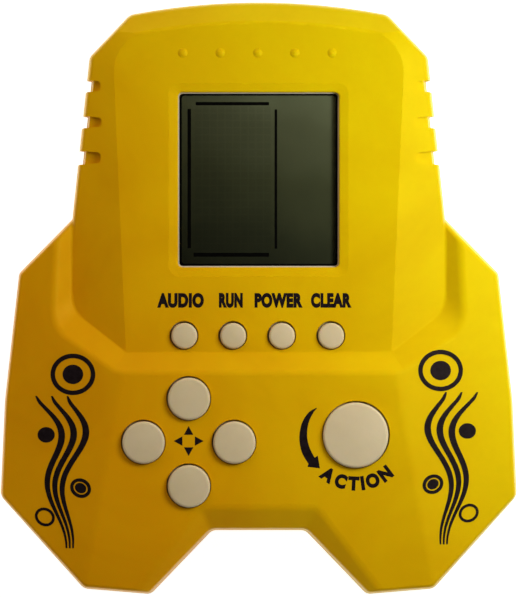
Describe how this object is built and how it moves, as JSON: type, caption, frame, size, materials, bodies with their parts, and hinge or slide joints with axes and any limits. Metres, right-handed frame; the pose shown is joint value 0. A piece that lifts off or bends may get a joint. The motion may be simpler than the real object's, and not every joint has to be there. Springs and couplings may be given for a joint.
{
  "type": "handheld lcd game",
  "caption": "Handheld LCD brick game with a raised display head, a collared two-legged body, push buttons and a sliding battery door.",
  "frame": {"origin": "on the resting face, under the centre of the overall footprint", "axes": "+Z out of the play face, +Y towards the display end, +X to the player's right"},
  "size_m": [0.12, 0.1377, 0.0316],
  "materials": {
    "yellow_abs": "satin",
    "key_plastic": "satin",
    "clear_lens": "polished",
    "lcd_glass": "polished",
    "polariser": "satin",
    "reflector_film": "satin",
    "black_abs": "matte",
    "elastomer": "matte",
    "board": "satin",
    "epoxy": "satin",
    "component": "satin",
    "silicone": "matte",
    "carbon": "matte",
    "cell": "gloss",
    "spring_steel": "satin",
    "wire": "satin",
    "brass_disc": "satin",
    "ceramic": "satin",
    "screw_steel": "satin"
  },
  "bodies": {
    "case": {"front_shell": "yellow_abs", "rear_shell": "yellow_abs", "display_window": "clear_lens", "lcd_panel": "lcd_glass", "lcd_polariser": "polariser", "lcd_reflector": "reflector_film", "lcd_holder": "black_abs", "zebra_strip": "elastomer", "main_pcb": "board", "game_chip": "epoxy", "pcb_components": "component", "small_key_mat": "silicone", "direction_key_mat": "silicone", "rotate_key_mat": "silicone", "battery_upper": "cell", "battery_lower": "cell", "contact_positive": "spring_steel", "contact_negative": "spring_steel", "contact_bridge": "spring_steel", "battery_wires": "wire", "buzzer_wires": "wire", "buzzer_disc": "brass_disc", "buzzer_ceramic": "ceramic", "case_screws": "screw_steel", "board_screws": "screw_steel"},
    "door": {"battery_door": "yellow_abs"},
    "key_sound": {"button_sound": "key_plastic", "pill_sound": "carbon"},
    "key_start_pause": {"button_start_pause": "key_plastic", "pill_start_pause": "carbon"},
    "key_power": {"button_power": "key_plastic", "pill_power": "carbon"},
    "key_reset": {"button_reset": "key_plastic", "pill_reset": "carbon"},
    "key_up": {"button_up": "key_plastic", "pill_up": "carbon"},
    "key_down": {"button_down": "key_plastic", "pill_down": "carbon"},
    "key_left": {"button_left": "key_plastic", "pill_left": "carbon"},
    "key_right": {"button_right": "key_plastic", "pill_right": "carbon"},
    "key_rotate": {"button_rotate": "key_plastic", "pill_rotate": "carbon"}
  },
  "joints": [
    {"name": "sound_press", "type": "slide", "parent": "case", "child": "key_sound", "axis": [0, 0, -1], "range_m": [0, 0.0011], "stiffness_N_per_m": 600, "springref_m": -0.0002, "deforming": ["small_key_mat"]},
    {"name": "start_pause_press", "type": "slide", "parent": "case", "child": "key_start_pause", "axis": [0, 0, -1], "range_m": [0, 0.0011], "stiffness_N_per_m": 600, "springref_m": -0.0002, "deforming": ["small_key_mat"]},
    {"name": "power_press", "type": "slide", "parent": "case", "child": "key_power", "axis": [0, 0, -1], "range_m": [0, 0.0011], "stiffness_N_per_m": 600, "springref_m": -0.0002, "deforming": ["small_key_mat"]},
    {"name": "reset_press", "type": "slide", "parent": "case", "child": "key_reset", "axis": [0, 0, -1], "range_m": [0, 0.0011], "stiffness_N_per_m": 600, "springref_m": -0.0002, "deforming": ["small_key_mat"]},
    {"name": "up_press", "type": "slide", "parent": "case", "child": "key_up", "axis": [0, 0, -1], "range_m": [0, 0.0011], "stiffness_N_per_m": 600, "springref_m": -0.0002, "deforming": ["direction_key_mat"]},
    {"name": "down_press", "type": "slide", "parent": "case", "child": "key_down", "axis": [0, 0, -1], "range_m": [0, 0.0011], "stiffness_N_per_m": 600, "springref_m": -0.0002, "deforming": ["direction_key_mat"]},
    {"name": "left_press", "type": "slide", "parent": "case", "child": "key_left", "axis": [0, 0, -1], "range_m": [0, 0.0011], "stiffness_N_per_m": 600, "springref_m": -0.0002, "deforming": ["direction_key_mat"]},
    {"name": "right_press", "type": "slide", "parent": "case", "child": "key_right", "axis": [0, 0, -1], "range_m": [0, 0.0011], "stiffness_N_per_m": 600, "springref_m": -0.0002, "deforming": ["direction_key_mat"]},
    {"name": "rotate_press", "type": "slide", "parent": "case", "child": "key_rotate", "axis": [0, 0, -1], "range_m": [0, 0.0011], "stiffness_N_per_m": 600, "springref_m": -0.0002, "deforming": ["rotate_key_mat"]},
    {"name": "door_slide", "type": "slide", "parent": "case", "child": "door", "axis": [0, 1, 0], "range_m": [0, 0.056]}
  ]
}
